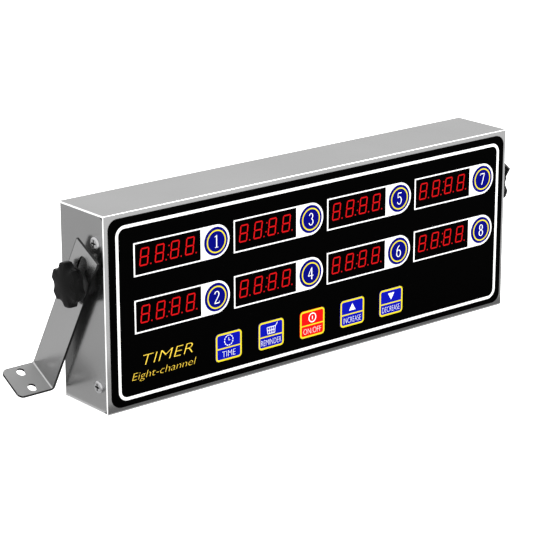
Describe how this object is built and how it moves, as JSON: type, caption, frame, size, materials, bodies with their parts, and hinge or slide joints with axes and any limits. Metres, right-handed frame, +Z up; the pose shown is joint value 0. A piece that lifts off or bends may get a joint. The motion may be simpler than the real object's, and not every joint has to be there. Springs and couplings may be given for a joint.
{
  "type": "multi-channel kitchen timer",
  "caption": "Multi-channel kitchen timer in a stainless-steel case, with digit windows, printed keys and a swing bracket with a star knob at each end.",
  "frame": {"origin": "centre of the case's bottom face", "axes": "+X to the right seen from the front, +Y from the front panel to the back, +Z up"},
  "size_m": [0.344, 0.0648, 0.1097],
  "materials": {
    "case_steel": "brushed stainless sheet, satin",
    "bracket_steel": "stainless strip, satin",
    "fastener_steel": "bright plated steel",
    "overlay_film": "black printed film, semi-gloss",
    "window_lens": "smoked lens, glossy",
    "key_blue": "blue printed film, semi-gloss",
    "key_red": "red printed film, semi-gloss",
    "display_housing": "black moulded plastic",
    "circuit_board": "green solder mask",
    "chip_plastic": "black epoxy",
    "switch_plastic": "black moulded plastic",
    "standoff_brass": "turned brass",
    "insert_brass": "turned brass",
    "knob_plastic": "black moulded plastic, semi-gloss",
    "washer_nylon": "black nylon",
    "spacer_nylon": "black nylon",
    "buzzer_plastic": "black moulded plastic",
    "capacitor_can": "drawn can",
    "jack_plastic": "black moulded plastic",
    "wire_cover": "red wire insulation",
    "plug_plastic": "natural nylon",
    "print_white": "white screen-printed ink",
    "print_yellow": "yellow screen-printed ink",
    "print_gold": "gold screen-printed ink",
    "digit_red": "red light-emitting digits, lit"
  },
  "bodies": {
    "case": {"front_cover": "case_steel", "rear_chassis": "case_steel", "cover_screws": "fastener_steel", "panel_overlay": "overlay_film", "display_windows": "window_lens", "power_jack": "jack_plastic", "cover_nuts": "fastener_steel", "display_module_1": "display_housing", "display_module_2": "display_housing", "display_module_3": "display_housing", "display_module_4": "display_housing", "display_module_5": "display_housing", "display_module_6": "display_housing", "display_module_7": "display_housing", "display_module_8": "display_housing", "main_board": "circuit_board", "board_standoffs": "standoff_brass", "board_screws": "fastener_steel", "key_switches": "switch_plastic", "control_chip": "chip_plastic", "display_drivers": "chip_plastic", "voltage_regulator": "chip_plastic", "filter_capacitor": "capacitor_can", "buzzer": "buzzer_plastic", "power_jack_nut": "fastener_steel", "lead_plug": "plug_plastic", "power_lead": "wire_cover", "left_knob_stud": "fastener_steel", "right_knob_stud": "fastener_steel"},
    "left_pivot": {"left_spacer_washer": "spacer_nylon"},
    "left_leg": {"left_bracket": "bracket_steel"},
    "left_clamp": {"left_thrust_washer": "washer_nylon"},
    "left_grip": {"left_knob": "knob_plastic", "left_knob_insert": "insert_brass"},
    "right_pivot": {"right_spacer_washer": "spacer_nylon"},
    "right_leg": {"right_bracket": "bracket_steel"},
    "right_clamp": {"right_thrust_washer": "washer_nylon"},
    "right_grip": {"right_knob": "knob_plastic", "right_knob_insert": "insert_brass"},
    "channel_key_1": {"channel_key_1": "key_blue"},
    "channel_key_2": {"channel_key_2": "key_blue"},
    "channel_key_3": {"channel_key_3": "key_blue"},
    "channel_key_4": {"channel_key_4": "key_blue"},
    "channel_key_5": {"channel_key_5": "key_blue"},
    "channel_key_6": {"channel_key_6": "key_blue"},
    "channel_key_7": {"channel_key_7": "key_blue"},
    "channel_key_8": {"channel_key_8": "key_blue"},
    "time_key": {"time_key": "key_blue"},
    "reminder_key": {"reminder_key": "key_blue"},
    "power_key": {"power_key": "key_red"},
    "increase_key": {"increase_key": "key_blue"},
    "decrease_key": {"decrease_key": "key_blue"}
  },
  "joints": [
    {"name": "left_bracket_swing", "type": "hinge", "parent": "case", "child": "left_pivot", "pos_m": [-0.1481, 0, 0.0702], "axis": [1, 0, 0], "continuous": true},
    {"name": "left_bracket_slide", "type": "slide", "parent": "left_pivot", "child": "left_leg", "axis": [0, 0.4879, -0.8729], "range_m": [0, 0.0145]},
    {"name": "left_knob_travel", "type": "slide", "parent": "case", "child": "left_clamp", "axis": [-1, 0, 0], "range_m": [0, 0.002]},
    {"name": "left_knob_turn", "type": "hinge", "parent": "left_clamp", "child": "left_grip", "pos_m": [-0.1522, 0, 0.0702], "axis": [-1, 0, 0], "range_deg": [0, 720]},
    {"name": "right_bracket_swing", "type": "hinge", "parent": "case", "child": "right_pivot", "pos_m": [0.1481, 0, 0.0702], "axis": [1, 0, 0], "continuous": true},
    {"name": "right_bracket_slide", "type": "slide", "parent": "right_pivot", "child": "right_leg", "axis": [0, 0.4879, -0.8729], "range_m": [0, 0.0145]},
    {"name": "right_knob_travel", "type": "slide", "parent": "case", "child": "right_clamp", "axis": [1, 0, 0], "range_m": [0, 0.002]},
    {"name": "right_knob_turn", "type": "hinge", "parent": "right_clamp", "child": "right_grip", "pos_m": [0.1522, 0, 0.0702], "axis": [1, 0, 0], "range_deg": [0, 720]},
    {"name": "channel_key_1_press", "type": "slide", "parent": "case", "child": "channel_key_1", "axis": [0, 1, 0], "range_m": [0, 0.0003], "stiffness_N_per_m": 3000},
    {"name": "channel_key_2_press", "type": "slide", "parent": "case", "child": "channel_key_2", "axis": [0, 1, 0], "range_m": [0, 0.0003], "stiffness_N_per_m": 3000},
    {"name": "channel_key_3_press", "type": "slide", "parent": "case", "child": "channel_key_3", "axis": [0, 1, 0], "range_m": [0, 0.0003], "stiffness_N_per_m": 3000},
    {"name": "channel_key_4_press", "type": "slide", "parent": "case", "child": "channel_key_4", "axis": [0, 1, 0], "range_m": [0, 0.0003], "stiffness_N_per_m": 3000},
    {"name": "channel_key_5_press", "type": "slide", "parent": "case", "child": "channel_key_5", "axis": [0, 1, 0], "range_m": [0, 0.0003], "stiffness_N_per_m": 3000},
    {"name": "channel_key_6_press", "type": "slide", "parent": "case", "child": "channel_key_6", "axis": [0, 1, 0], "range_m": [0, 0.0003], "stiffness_N_per_m": 3000},
    {"name": "channel_key_7_press", "type": "slide", "parent": "case", "child": "channel_key_7", "axis": [0, 1, 0], "range_m": [0, 0.0003], "stiffness_N_per_m": 3000},
    {"name": "channel_key_8_press", "type": "slide", "parent": "case", "child": "channel_key_8", "axis": [0, 1, 0], "range_m": [0, 0.0003], "stiffness_N_per_m": 3000},
    {"name": "time_key_press", "type": "slide", "parent": "case", "child": "time_key", "axis": [0, 1, 0], "range_m": [0, 0.0003], "stiffness_N_per_m": 3000},
    {"name": "reminder_key_press", "type": "slide", "parent": "case", "child": "reminder_key", "axis": [0, 1, 0], "range_m": [0, 0.0003], "stiffness_N_per_m": 3000},
    {"name": "power_key_press", "type": "slide", "parent": "case", "child": "power_key", "axis": [0, 1, 0], "range_m": [0, 0.0003], "stiffness_N_per_m": 3000},
    {"name": "increase_key_press", "type": "slide", "parent": "case", "child": "increase_key", "axis": [0, 1, 0], "range_m": [0, 0.0003], "stiffness_N_per_m": 3000},
    {"name": "decrease_key_press", "type": "slide", "parent": "case", "child": "decrease_key", "axis": [0, 1, 0], "range_m": [0, 0.0003], "stiffness_N_per_m": 3000}
  ],
  "couplings": [
    {"joint": "left_knob_travel", "follows": "left_knob_turn", "m_per_rad": 0.000159},
    {"joint": "right_knob_travel", "follows": "right_knob_turn", "m_per_rad": 0.000159}
  ]
}
